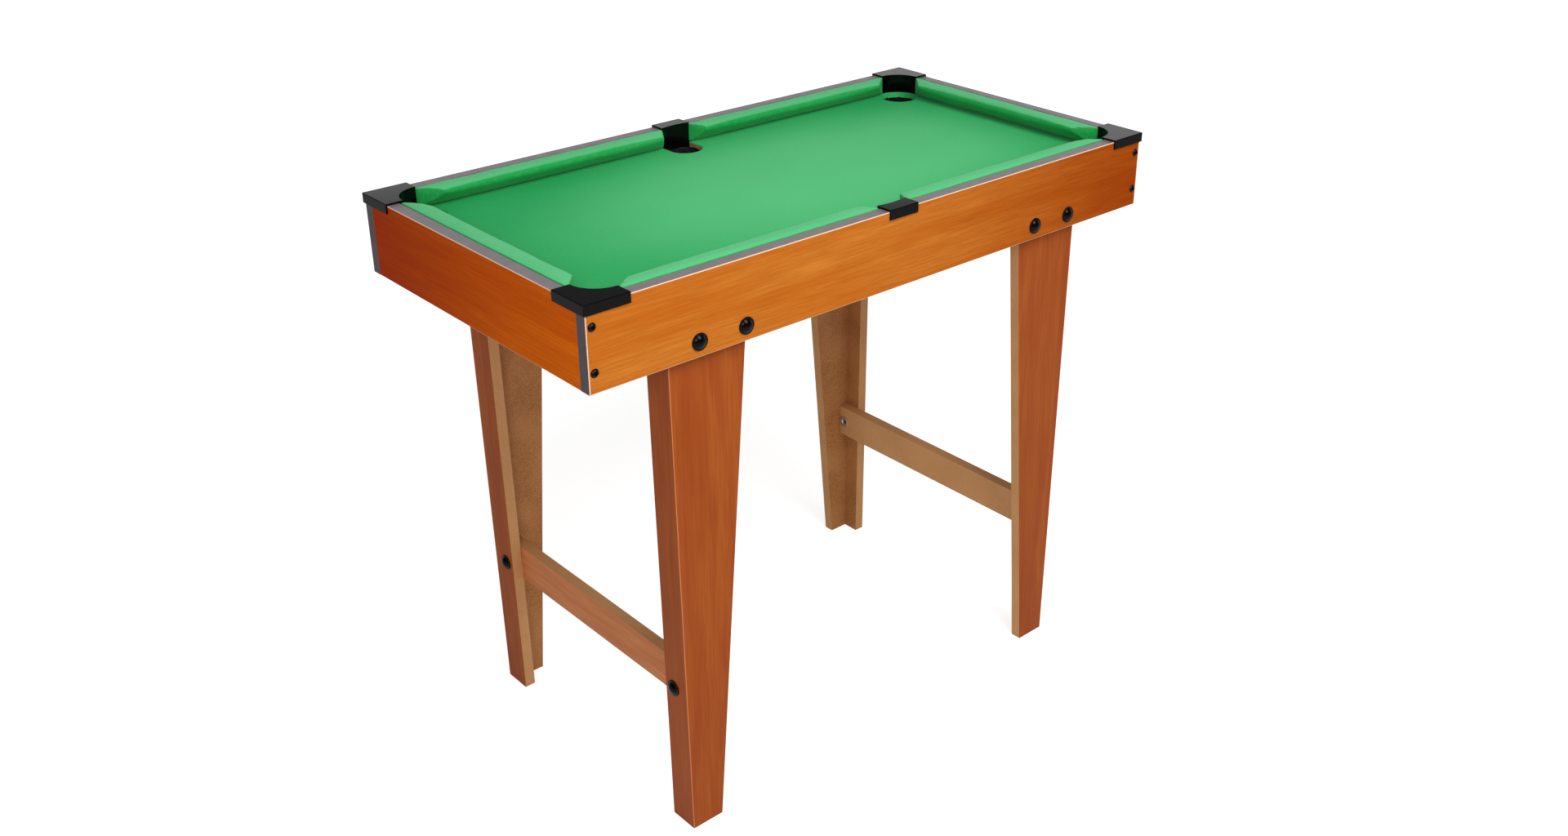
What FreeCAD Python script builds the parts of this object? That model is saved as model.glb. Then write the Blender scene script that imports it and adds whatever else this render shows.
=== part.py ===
import FreeCAD, Part
import math
import os

# Small billiard table on four L-shaped legs, in millimetres.
# X runs along the table, Y from its front to its back, Z up from the floor.
# The origin is on the floor under the middle of the table.
# Pieces that come in mirrored copies are modelled at the front left and mirrored.

V = FreeCAD.Vector

# Overall sizes
table_length = 690.0
table_width = 356.0
table_height = 576.0

# Sawn boards of the apron, the legs and the stretchers, and their edge bands
board_thickness = 12.0
apron_board_height = 75.0
band_thickness = 1.0
edge_ease = 0.5

# Bed: cloth on a thin board, carried by cleats
cloth_drop = 19.0
cloth_thickness = 1.0
bed_thickness = 5.0
bed_clearance = 0.5
cleat_width = 12.0
cleat_height = 12.0
cleat_gap = 2.0

# Pockets: round holes at the corners, notches at the middle of the long sides
corner_hole_radius = 20.5
middle_notch_radius = 18.0
middle_notch_inset = 20.0

# Pocket bags, hung by a hem under the bed: shares of the mouth's radius and of the depth
bag_wall = 1.2
bag_hem_width = 5.0
bag_depth = 40.0
bag_clearance = 0.5
bag_sides = 16
bag_profile_shares = ((1.0, 0.0), (0.9, 0.5), (0.7, 0.86), (0.3, 1.0))

# Moulded pocket caps
cap_reach = 43.0
cap_cover = 15.5
cap_top = 2.0
cap_wall = 1.6
cap_skirt = 7.5
cap_clearance = 0.2
cap_round = 0.6
middle_cap_width = 35.0
middle_cap_hollow = 2.2
liner_wall = 1.6

# Cushions: cloth-covered rubber on a thin backing strip
cushion_width = 24.0
cushion_top_drop = 0.8
cushion_back_round = 1.5
nose_radius = 5.0
nose_drop = 8.0
cushion_foot = 3.0
cushion_end_gap = 0.8
corner_setback = 24.0
middle_setback = 12.0
cover_thickness = 0.8
strip_thickness = 3.0
strip_top_drop = 3.5
seat_gap = 0.3

# Legs: a wide tapered panel and a narrow side panel joined in a mitre
leg_inset = 85.0
leg_lean = 7.3
leg_top_width = 87.0
leg_foot_width = 35.0
side_panel_width = 32.0

# Stretchers between the front and the back leg of each end
stretcher_height = 38.0
stretcher_level = 156.0
stretcher_clearance = 0.5

# Round fittings and their holes have flat sides; domes are shares of their radius
shank_sides = 12
head_sides = 16
dome_shares = (1.0, 0.7, 0.3)

# Bolts through two boards, the nuts let into the inner one, and snap-on caps
bolt_radius = 3.0
bolt_hole_radius = 3.3
bolt_head_flats = 8.0
bolt_head_height = 2.0
bolt_length = 22.0
leg_bolt_margin = 25.0
leg_bolt_free_margin = 12.0
leg_bolt_rise = 14.0
stretcher_bolt_inset = 8.0
nut_barrel_radius = 4.25
nut_barrel_length = 10.0
nut_hole_radius = 4.35
nut_bore_radius = 3.1
nut_flange_radius = 7.0
nut_flange_thickness = 1.2
bolt_cap_radius = 8.0
bolt_cap_rim = 1.5
bolt_cap_bevel = 0.5
bolt_cap_height = 4.6
bolt_cap_dome_radius = 6.4
bolt_cap_clearance = 0.2

# Screws that hold the corners of the apron
screw_radius = 1.8
screw_tip_radius = 0.3
screw_tip_length = 3.0
screw_hole_radius = 2.0
screw_length = 34.0
screw_hole_spare = 1.0
screw_head_radius = 4.0
screw_head_height = 2.6
screw_top_drop = 18.5
screw_foot_rise = 18.0

# Every cut runs this far past the solid that it opens
overrun = 4.0

# Two bounds match when they differ by less than this share of their size
match_share = 1e-6

# Places that follow from the sizes above
half_length = table_length / 2
half_width = table_width / 2
board_top = table_height - band_thickness
board_foot = board_top - apron_board_height
inner_x = half_length - board_thickness
inner_y = half_width - board_thickness
cloth_top = table_height - cloth_drop
bed_top = cloth_top - cloth_thickness
bed_foot = bed_top - bed_thickness
leg_top = bed_foot - cleat_height
half_middle_cap = middle_cap_width / 2
diagonal_share = math.sqrt(0.5)

# The pocket arc of a corner cap, and the hole that lies inside it
arc_x = half_length - cap_reach
arc_y = half_width - cap_reach
arc_radius = cap_reach - cap_cover
hole_shift = (arc_radius - corner_hole_radius) * diagonal_share
corner_hole_x = arc_x + hole_shift
corner_hole_y = arc_y + hole_shift
middle_hole_y = inner_y - middle_notch_inset

# The leaning corner edge of the legs
leg_top_x = half_length - leg_inset
leg_foot_x = leg_top_x - leg_lean
lean_angle = math.atan2(leg_lean, leg_top)
lean_thickness = board_thickness / math.cos(lean_angle)


def box(x0, x1, y0, y1, z0, z1):
    """A box between two corners."""
    return Part.makeBox(x1 - x0, y1 - y0, z1 - z0, V(x0, y0, z0))


def polygon(points):
    return Part.makePolygon(points + points[:1])


def prism(points, z0, z1):
    """A prism on a polygon of (x, y) points."""
    face = Part.Face(polygon([V(x, y, z0) for x, y in points]))
    return face.extrude(V(0, 0, z1 - z0))


def curved_prism(edges, height):
    """A closed outline of lines and arcs, drawn upwards."""
    return Part.Face(Part.Wire(edges)).extrude(V(0, 0, height))


def line(start, end):
    return Part.LineSegment(start, end).toShape()


def arc(start, middle, end):
    return Part.Arc(start, middle, end).toShape()


def flat_sided(rings):
    """A solid with flat sides from ring to ring; each ring has as many points as the next."""
    outlines = [rings[0], rings[-1]]
    for ring, next_ring in zip(rings, rings[1:]):
        for side in range(len(ring)):
            outlines.append([ring[side - 1], ring[side], next_ring[side], next_ring[side - 1]])
    shell = Part.Shell([Part.Face(polygon(outline)) for outline in outlines])
    shell.sewShape()
    solid = Part.Solid(shell)
    return solid if solid.Volume > 0 else solid.reversed()


def round_ring(radius, z, sides):
    """A polygon round a circle, so that its flat sides touch the circle."""
    corner_radius = radius / math.cos(math.pi / sides)
    angles = [math.tau * side / sides for side in range(sides)]
    return [V(corner_radius * math.cos(a), corner_radius * math.sin(a), z) for a in angles]


def round_form(sides, profile):
    """An upright solid of round rings, from its pairs of radius and height."""
    return flat_sided([round_ring(radius, z, sides) for radius, z in profile])


def dome(radius, foot, rise):
    """The pairs of radius and height of a domed top."""
    return [(radius * share, foot + rise * (1 - share ** 2)) for share in dome_shares]


def seated(fitting, place, direction):
    """A copy of an upright piece, moved to its place and turned to a direction."""
    copied = fitting.copy()
    copied.Placement = FreeCAD.Placement(place, FreeCAD.Rotation(V(0, 0, 1), direction))
    return copied


def bore(radius, place, direction, depth):
    """A cutter that starts one overrun before its place."""
    cutter = round_form(shank_sides, [(radius, -overrun), (radius, depth)])
    return seated(cutter, place, direction)


def cut_all(shape, cutters):
    for cutter in cutters:
        shape = shape.cut(cutter)
    return shape


def eased(shape, size, *choices):
    """Round the edges whose bounding boxes have all the values of one of the choices."""
    def matches(edge, choice):
        return all(math.isclose(getattr(edge.BoundBox, name), value, rel_tol=match_share)
                   for name, value in choice.items())
    edges = [edge for edge in shape.Edges if any(matches(edge, choice) for choice in choices)]
    return shape.makeFillet(size, edges)


def mirrored_x(shape):
    return shape.mirror(V(0, 0, 0), V(1, 0, 0))


def mirrored_y(shape):
    return shape.mirror(V(0, 0, 0), V(0, 1, 0))


def four_corners(shape):
    """The front left shape and its copies at the other three corners."""
    right = mirrored_x(shape)
    return {
        "front_left": shape,
        "front_right": right,
        "back_left": mirrored_y(shape),
        "back_right": mirrored_y(right),
    }


def save(node, shape):
    """Write one solid, or a group of separate solids, under a node's name."""
    solids = shape.Solids
    whole = solids[0] if len(solids) == 1 else Part.makeCompound(solids)
    whole.exportStep(os.path.join("parts", node + ".step"))


def save_each(prefix, shapes):
    for place, shape in shapes.items():
        save(prefix + place, shape)


# Apron: the long boards run past the ends of the short ones
def screw_heights():
    return (table_height - screw_top_drop, board_foot + screw_foot_rise)


def screw_places():
    """Corner screws of the front board, over the middle of each short board."""
    x = half_length - board_thickness / 2
    return [V(side * x, -half_width, z) for side in (-1, 1) for z in screw_heights()]


def leg_bolt_places():
    """Bolts through the front board, a pair for each leg."""
    z = board_foot + leg_bolt_rise
    far_x = leg_top_x - leg_bolt_margin
    near_x = leg_top_x - leg_top_width + leg_bolt_free_margin
    return [V(side * x, -half_width, z) for side in (-1, 1) for x in (near_x, far_x)]


def long_board():
    end = half_length - band_thickness
    board = box(-end, end, -half_width, -inner_y, board_foot, board_top)
    board = eased(board, edge_ease, dict(YMax=-half_width, ZMax=board_foot))
    holes = [bore(screw_hole_radius, place, V(0, 1, 0), board_thickness + overrun)
             for place in screw_places()]
    holes += [bore(bolt_hole_radius, place, V(0, 1, 0), board_thickness + overrun)
              for place in leg_bolt_places()]
    return cut_all(board, holes)


def short_board():
    board = box(-half_length, -inner_x, -inner_y, inner_y, board_foot, board_top)
    board = eased(board, edge_ease, dict(XMax=-half_length, ZMax=board_foot))
    depth = screw_length - board_thickness + screw_hole_spare
    x = board_thickness / 2 - half_length
    pilots = [bore(screw_hole_radius, V(x, -inner_y, z), V(0, 1, 0), depth) for z in screw_heights()]
    return cut_all(board, pilots + [mirrored_y(pilot) for pilot in pilots])


def top_bands():
    """Bands on the boards' top edges, eased along their outer side."""
    long_band = box(-half_length, half_length, -half_width, -inner_y, board_top, table_height)
    long_band = eased(long_band, edge_ease, dict(YMax=-half_width, ZMin=table_height))
    short_band = box(-half_length, -inner_x, -inner_y, inner_y, board_top, table_height)
    short_band = eased(short_band, edge_ease, dict(XMax=-half_length, ZMin=table_height))
    bands = [long_band, mirrored_y(long_band), short_band, mirrored_x(short_band)]
    return Part.makeCompound(bands)


def end_bands():
    """Upright bands on the ends of the long boards."""
    band_end = band_thickness - half_length
    band = box(-half_length, band_end, -half_width, -inner_y, board_foot, board_top)
    return Part.makeCompound(list(four_corners(band).values()))


# Bed: the pockets are cut through the cloth and the board alike
def pocket_cutters(z0, z1):
    low = z0 - overrun
    height = z1 - z0 + 2 * overrun
    corner = Part.makeCylinder(corner_hole_radius, height, V(-corner_hole_x, -corner_hole_y, low))
    notch = Part.makeCylinder(middle_notch_radius, height, V(0, -middle_hole_y, low))
    mouth = box(-middle_notch_radius, middle_notch_radius,
                -inner_y - overrun, -middle_hole_y, low, low + height)
    notch = notch.fuse(mouth)
    return list(four_corners(corner).values()) + [notch, mirrored_y(notch)]


def bed_layer(z0, z1):
    x = inner_x - bed_clearance
    y = inner_y - bed_clearance
    return cut_all(box(-x, x, -y, y, z0, z1), pocket_cutters(z0, z1))


def cleats():
    """Battens glued inside the apron, which stop short of the pocket bags."""
    past_bag = bag_hem_width + cleat_gap
    corner_end = corner_hole_x - corner_hole_radius - past_bag
    middle_end = middle_notch_radius + past_bag
    side_end = corner_hole_y - corner_hole_radius - past_bag
    long_cleat = box(-corner_end, -middle_end, -inner_y, cleat_width - inner_y, leg_top, bed_foot)
    short_cleat = box(-inner_x, cleat_width - inner_x, -side_end, side_end, leg_top, bed_foot)
    found = four_corners(long_cleat)
    found["left"] = short_cleat
    found["right"] = mirrored_x(short_cleat)
    return found


# Pocket bags
def bag_form(mouth_radius, wall):
    """The bag's inside, or its outside where it has a wall, from the mouth down."""
    return round_form(bag_sides, [(mouth_radius * width_share + wall, -(bag_depth + wall) * depth_share)
                                  for width_share, depth_share in bag_profile_shares])


def bag(mouth_radius):
    """A bag round its own axis, with the hem's upper face at height zero."""
    hem_radius = mouth_radius + bag_hem_width
    hem = round_form(bag_sides, [(hem_radius, 0), (hem_radius, -bag_wall)])
    return hem.fuse(bag_form(mouth_radius, bag_wall)).cut(bag_form(mouth_radius, 0))


def bags():
    corner = bag(corner_hole_radius)
    corner.translate(V(-corner_hole_x, -corner_hole_y, bed_foot))
    found = four_corners(corner)
    middle = bag(middle_notch_radius)
    middle.translate(V(0, -middle_hole_y, bed_foot))
    reach = middle_notch_radius + bag_hem_width + overrun
    beyond_apron = box(-reach, reach, -half_width, bag_clearance - inner_y,
                       bed_foot - bag_depth, bed_foot + overrun)
    middle = middle.cut(beyond_apron)
    found["middle_front"] = middle
    found["middle_back"] = mirrored_y(middle)
    return found


# Pocket caps: a top plate, a skirt outside and a liner wall inside the pocket
def corner_cap():
    outer_x = half_length + cap_clearance + cap_wall
    outer_y = half_width + cap_clearance + cap_wall
    skirt_x = outer_x - cap_wall
    skirt_y = outer_y - cap_wall

    def pocket_arc(radius, z):
        """Start, middle and end of an arc from the long arm to the short one."""
        turn = radius * diagonal_share
        return (V(-arc_x, -arc_y - radius, z),
                V(-arc_x - turn, -arc_y - turn, z),
                V(-arc_x - radius, -arc_y, z))

    z = table_height
    start, middle, end = pocket_arc(arc_radius, z)
    plate = curved_prism([
        line(V(-outer_x, -outer_y, z), V(-arc_x, -outer_y, z)),
        line(V(-arc_x, -outer_y, z), start),
        arc(start, middle, end),
        line(end, V(-outer_x, -arc_y, z)),
        line(V(-outer_x, -arc_y, z), V(-outer_x, -outer_y, z)),
    ], cap_top)
    skirt = prism([
        (-outer_x, -outer_y), (-arc_x, -outer_y), (-arc_x, -skirt_y),
        (-skirt_x, -skirt_y), (-skirt_x, -arc_y), (-outer_x, -arc_y),
    ], z - cap_skirt, z)
    foot = cloth_top + seat_gap
    start, middle, end = pocket_arc(arc_radius, foot)
    far_start, far_middle, far_end = pocket_arc(arc_radius + liner_wall, foot)
    liner = curved_prism([
        arc(start, middle, end),
        line(end, far_end),
        arc(far_end, far_middle, far_start),
        line(far_start, start),
    ], z - foot)
    cap = plate.fuse([skirt, liner]).removeSplitter()
    top = table_height + cap_top
    return eased(cap, cap_round, dict(XMax=-outer_x, ZMin=top), dict(YMax=-outer_y, ZMin=top),
                 dict(XMax=-outer_x, YMax=-outer_y))


def middle_cap():
    outer_y = half_width + cap_clearance + cap_wall
    liner_back = inner_y - cap_clearance
    half = half_middle_cap

    def hollow_arc(depth, z):
        """Start, middle and end of the shallow arc that faces the pocket."""
        tip = depth - middle_cap_hollow
        return V(half, -tip, z), V(0, -depth, z), V(-half, -tip, z)

    z = table_height
    start, middle, end = hollow_arc(liner_back - liner_wall, z)
    plate = curved_prism([
        line(V(-half, -outer_y, z), V(half, -outer_y, z)),
        line(V(half, -outer_y, z), start),
        arc(start, middle, end),
        line(end, V(-half, -outer_y, z)),
    ], cap_top)
    skirt = box(-half, half, -outer_y, cap_wall - outer_y, z - cap_skirt, z)
    start, middle, end = hollow_arc(liner_back - liner_wall, bed_foot)
    far_start, far_middle, far_end = hollow_arc(liner_back, bed_foot)
    liner = curved_prism([
        arc(start, middle, end),
        line(end, far_end),
        arc(far_end, far_middle, far_start),
        line(far_start, start),
    ], z - bed_foot)
    cap = plate.fuse([skirt, liner]).removeSplitter()
    return eased(cap, cap_round, dict(YMax=-outer_y, ZMin=table_height + cap_top))


# Cushions: one section drawn along the rail, mitred at the pockets
def tangent_point(point, centre, radius, side):
    """Where the line from a point touches a circle, on the chosen side of its centre."""
    reach = point.distanceToPoint(centre)
    heading = math.atan2(centre.z - point.z, centre.x - point.x)
    heading += side * math.asin(radius / reach)
    run = math.sqrt(reach ** 2 - radius ** 2)
    return point + V(math.cos(heading), 0, math.sin(heading)) * run


def cushion_section():
    """The section in X and Z, with X measured from the apron's inner face."""
    foot_z = cloth_top + seat_gap
    back_z = table_height - cushion_top_drop
    centre = V(cushion_width - nose_radius, 0, table_height - nose_drop)
    nose = centre + V(nose_radius, 0, 0)
    foot_back = V(seat_gap, 0, foot_z)
    foot = V(cushion_foot, 0, foot_z)
    back_side = V(seat_gap, 0, back_z - cushion_back_round)
    back_top = V(seat_gap + cushion_back_round, 0, back_z)
    turn = cushion_back_round * (1 - diagonal_share)
    back_turn = V(seat_gap + turn, 0, back_z - turn)
    upper = tangent_point(back_top, centre, nose_radius, 1)
    lower = tangent_point(foot, centre, nose_radius, -1)
    return [
        arc(back_side, back_turn, back_top),
        line(back_top, upper),
        arc(upper, nose, lower),
        line(lower, foot),
        line(foot, foot_back),
        line(foot_back, back_side),
    ]


def rail_cushion(length, start_setback, end_setback):
    """A cushion along +Y from zero, with X away from the apron, and its strip."""
    bar = Part.Face(Part.Wire(cushion_section())).extrude(V(0, length, 0))
    reach = cushion_width + overrun
    start_slope = start_setback / cushion_width
    end_slope = end_setback / cushion_width
    plan = prism([
        (0, 0), (0, length),
        (reach, length - end_slope * reach), (reach, start_slope * reach),
    ], bed_foot, table_height)
    strip = box(0, strip_thickness,
                cover_thickness + start_slope * strip_thickness,
                length - cover_thickness - end_slope * strip_thickness,
                cloth_top + seat_gap, table_height - strip_top_drop)
    return bar.common(plan).cut(strip), strip


def placed_cushions():
    """The cushions and their backing strips, by the place of their rail."""
    middle_end = half_middle_cap + cushion_end_gap
    corner_end = arc_x - cushion_end_gap
    side_end = arc_y - cushion_end_gap
    front = rail_cushion(corner_end - middle_end, middle_setback, corner_setback)
    left = rail_cushion(2 * side_end, corner_setback, corner_setback)
    cushions, strips = {}, {}
    for placed, along_front, along_left in zip((cushions, strips), front, left):
        along_front.rotate(V(0, 0, 0), V(0, 0, 1), 90)
        along_front.translate(V(-middle_end, -inner_y, 0))
        placed.update(four_corners(along_front))
        along_left.translate(V(-inner_x, -side_end, 0))
        placed["left"] = along_left
        placed["right"] = mirrored_x(along_left)
    return cushions, strips


# Legs
def tapered_board(top_points, foot_points):
    """A board between its outline at the leg's top and its outline at the floor."""
    return flat_sided([[V(x, y, leg_top) for x, y in top_points],
                       [V(x, y, 0) for x, y in foot_points]])


def wide_panel():
    """The tapered front panel of a leg, flat against the apron's inner face."""
    inner_face = board_thickness - inner_y

    def outline(corner_x, width):
        mitre_x = lean_thickness - corner_x
        free_x = width - corner_x
        return [(-corner_x, -inner_y), (free_x, -inner_y), (free_x, inner_face), (mitre_x, inner_face)]

    panel = tapered_board(outline(leg_top_x, leg_top_width), outline(leg_foot_x, leg_foot_width))
    panel = eased(panel, edge_ease, dict(XMax=leg_top_width - leg_top_x, ZLength=leg_top))
    holes = [bore(nut_hole_radius, place, V(0, 1, 0), 2 * board_thickness + overrun)
             for place in leg_bolt_places()]
    return cut_all(panel, holes)


def side_panel():
    """The narrow panel of a leg, which leans with the leg's corner edge."""
    inner_face = board_thickness - inner_y
    free_y = side_panel_width - inner_y

    def outline(corner_x):
        mitre_x = lean_thickness - corner_x
        return [(-corner_x, -inner_y), (mitre_x, inner_face), (mitre_x, free_y), (-corner_x, free_y)]

    panel = tapered_board(outline(leg_top_x), outline(leg_foot_x))
    panel = eased(panel, edge_ease, dict(YMin=free_y, ZLength=leg_top))
    hole = bore(bolt_hole_radius, stretcher_bolt_place(0), inward, board_thickness + overrun)
    return panel.cut(hole)


# Stretchers lie on the inner faces of the leaning side panels
inward = V(math.cos(lean_angle), 0, -math.sin(lean_angle))
outward = inward * -1


def side_panel_point(depth):
    """A point at the stretcher's level, at a depth from the panel's outer face."""
    outer_x = leg_foot_x + leg_lean * stretcher_level / leg_top
    return V(-outer_x, 0, stretcher_level) + inward * depth


def stretcher_bolt_place(depth):
    bolt_y = board_thickness + stretcher_bolt_inset - inner_y
    return side_panel_point(depth) + V(0, bolt_y, 0)


def stretcher():
    reach = inner_y - board_thickness - stretcher_clearance
    bar = box(0, board_thickness, -reach, reach, -stretcher_height / 2, stretcher_height / 2)
    bar = eased(bar, edge_ease, dict(XMin=board_thickness, YLength=2 * reach))
    bar.Placement = FreeCAD.Placement(side_panel_point(board_thickness),
                                      FreeCAD.Rotation(V(1, 0, 0), inward))
    hole = bore(nut_hole_radius, stretcher_bolt_place(board_thickness), inward, board_thickness + overrun)
    return cut_all(bar, [hole, mirrored_y(hole)])


# Fittings are made upright, head up, with the seat of the head at height zero
def bolt():
    """A hexagon-headed bolt."""
    head = round_form(6, [(bolt_head_flats / 2, 0), (bolt_head_flats / 2, bolt_head_height)])
    return head.fuse(round_form(shank_sides, [(bolt_radius, -bolt_length), (bolt_radius, 0)]))


def bolt_cap():
    """A cap with a bevelled rim and a domed crown, hollow over the head of the bolt."""
    rim = [
        (bolt_cap_radius, 0),
        (bolt_cap_radius, bolt_cap_rim - bolt_cap_bevel),
        (bolt_cap_radius - bolt_cap_bevel, bolt_cap_rim),
    ]
    crown = dome(bolt_cap_dome_radius, bolt_cap_rim, bolt_cap_height - bolt_cap_rim)
    room_radius = bolt_head_flats / 2 + bolt_cap_clearance
    room = round_form(6, [(room_radius, -overrun), (room_radius, bolt_head_height + bolt_cap_clearance)])
    return round_form(head_sides, rim + crown).cut(room)


def nut():
    """A flanged barrel nut, its flange on the inner face at height zero."""
    flange = round_form(head_sides, [(nut_flange_radius, 0), (nut_flange_radius, nut_flange_thickness)])
    barrel = round_form(shank_sides, [(nut_barrel_radius, -nut_barrel_length), (nut_barrel_radius, 0)])
    hole = bore(nut_bore_radius, V(0, 0, nut_flange_thickness), V(0, 0, -1),
                nut_barrel_length + nut_flange_thickness + overrun)
    return barrel.fuse(flange).cut(hole)


def screw():
    """A dome-headed screw with a pointed end."""
    shank = round_form(shank_sides, [
        (screw_tip_radius, -screw_length),
        (screw_radius, screw_tip_length - screw_length),
        (screw_radius, 0),
    ])
    return shank.fuse(round_form(head_sides, dome(screw_head_radius, 0, screw_head_height)))


def apron_fittings(fitting, places, direction):
    """The same fitting at each place of the front board, and at the back."""
    front = [seated(fitting, place, direction) for place in places]
    return Part.makeCompound(front + [mirrored_y(one) for one in front])


def stretcher_fittings(fitting, depth, direction):
    one = seated(fitting, stretcher_bolt_place(depth), direction)
    return Part.makeCompound(list(four_corners(one).values()))


def save_fittings():
    front, back = V(0, -1, 0), V(0, 1, 0)
    grip = 2 * board_thickness
    places = leg_bolt_places()
    nut_places = [place + back * grip for place in places]
    save("apron_screws", apron_fittings(screw(), screw_places(), front))
    save("leg_bolts", apron_fittings(bolt(), places, front))
    save("leg_bolt_caps", apron_fittings(bolt_cap(), places, front))
    save("leg_bolt_nuts", apron_fittings(nut(), nut_places, back))
    save("stretcher_bolts", stretcher_fittings(bolt(), 0, outward))
    save("stretcher_bolt_caps", stretcher_fittings(bolt_cap(), 0, outward))
    save("stretcher_bolt_nuts", stretcher_fittings(nut(), grip, inward))


def save_pairs():
    """Pieces that come as a front and a back one, or as a left and a right one."""
    pairs = (("apron", long_board()), ("middle_cap", middle_cap()))
    for name, shape in pairs:
        save(name + "_front", shape)
        save(name + "_back", mirrored_y(shape))
    pairs = (("apron", short_board()), ("stretcher", stretcher()))
    for name, shape in pairs:
        save(name + "_left", shape)
        save(name + "_right", mirrored_x(shape))


def build():
    os.makedirs("parts", exist_ok=True)
    save_pairs()
    save("top_edge_bands", top_bands())
    save("end_edge_bands", end_bands())
    save("bed_board", bed_layer(bed_foot, bed_top))
    save("bed_cloth", bed_layer(bed_top, cloth_top))
    save_each("bed_cleat_", cleats())
    save_each("pocket_bag_", bags())
    save_each("corner_cap_", four_corners(corner_cap()))
    cushions, strips = placed_cushions()
    save_each("cushion_", cushions)
    save_each("cushion_strip_", strips)
    save_each("leg_wide_panel_", four_corners(wide_panel()))
    save_each("leg_side_panel_", four_corners(side_panel()))
    save_fittings()


build()
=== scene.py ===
import math

import bmesh
import bpy
from mathutils import Matrix, Vector, noise


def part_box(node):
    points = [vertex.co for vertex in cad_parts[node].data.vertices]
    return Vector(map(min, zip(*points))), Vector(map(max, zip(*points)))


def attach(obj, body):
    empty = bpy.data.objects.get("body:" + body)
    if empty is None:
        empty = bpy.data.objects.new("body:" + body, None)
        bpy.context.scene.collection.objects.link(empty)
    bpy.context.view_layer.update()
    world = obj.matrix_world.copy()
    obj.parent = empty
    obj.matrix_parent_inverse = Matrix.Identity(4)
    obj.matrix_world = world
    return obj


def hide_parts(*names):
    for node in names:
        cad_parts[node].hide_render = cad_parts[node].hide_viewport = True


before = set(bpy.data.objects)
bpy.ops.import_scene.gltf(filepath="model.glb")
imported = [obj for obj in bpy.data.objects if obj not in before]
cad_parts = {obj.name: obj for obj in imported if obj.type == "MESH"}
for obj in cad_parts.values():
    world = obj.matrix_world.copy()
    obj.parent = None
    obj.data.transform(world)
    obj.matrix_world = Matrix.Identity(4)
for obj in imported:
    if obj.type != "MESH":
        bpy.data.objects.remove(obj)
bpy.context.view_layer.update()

# All lengths are in metres. X runs along the table, Y from its front to its back, Z up.
millimetre = 0.001

# Sizes read from the frame
rail_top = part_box("top_edge_bands")[1].z
board_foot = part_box("apron_front")[0].z
half_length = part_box("end_edge_bands")[1].x
half_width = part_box("apron_back")[1].y
inner_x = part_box("apron_right")[0].x
inner_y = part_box("apron_back")[0].y
leg_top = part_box("leg_side_panel_back_right")[1].z
leg_top_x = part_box("leg_side_panel_back_right")[1].x

# A leg's corner stands this much further out at its top than at its foot
leg_lean = 7.3 * millimetre
leg_foot_x = leg_top_x - leg_lean


# Finishes
class Nodes:
    """A node tree, and the nodes that every finish and the studio's world are made from."""

    def __init__(self, tree):
        self.tree = tree

    def feed(self, socket, value):
        """Links a socket to another one, or sets it to a plain value."""
        if isinstance(value, bpy.types.NodeSocket):
            self.tree.links.new(value, socket)
        else:
            socket.default_value = value

    def add(self, kind, inputs=(), **settings):
        node = self.tree.nodes.new("ShaderNode" + kind)
        for name, value in settings.items():
            setattr(node, name, value)
        for name, value in dict(inputs).items():
            self.feed(node.inputs[name], value)
        return node

    def maths(self, operation, *values):
        node = self.add("Math", operation=operation)
        for socket, value in zip(node.inputs, values):
            self.feed(socket, value)
        return node.outputs[0]

    def ramped(self, value, low, high):
        """Zero at the low value, one at the high value, and smooth between them."""
        inputs = {"Value": value, "From Min": low, "From Max": high}
        return self.add("MapRange", inputs, interpolation_type="SMOOTHSTEP").outputs["Result"]

    def faded(self, value, low, high):
        """One at the low value, zero at the high value, and smooth between them."""
        return self.maths("SUBTRACT", 1.0, self.ramped(value, low, high))

    def between(self, share, low, high):
        """The low number where the share is zero, the high one where it is one."""
        return self.maths("MULTIPLY_ADD", share, high - low, low)


socket_names = {
    "metallic": "Metallic", "gloss": "Specular IOR Level", "sheen": "Sheen Weight",
    "sheen_roughness": "Sheen Roughness", "sheen_tint": "Sheen Tint",
}


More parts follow.
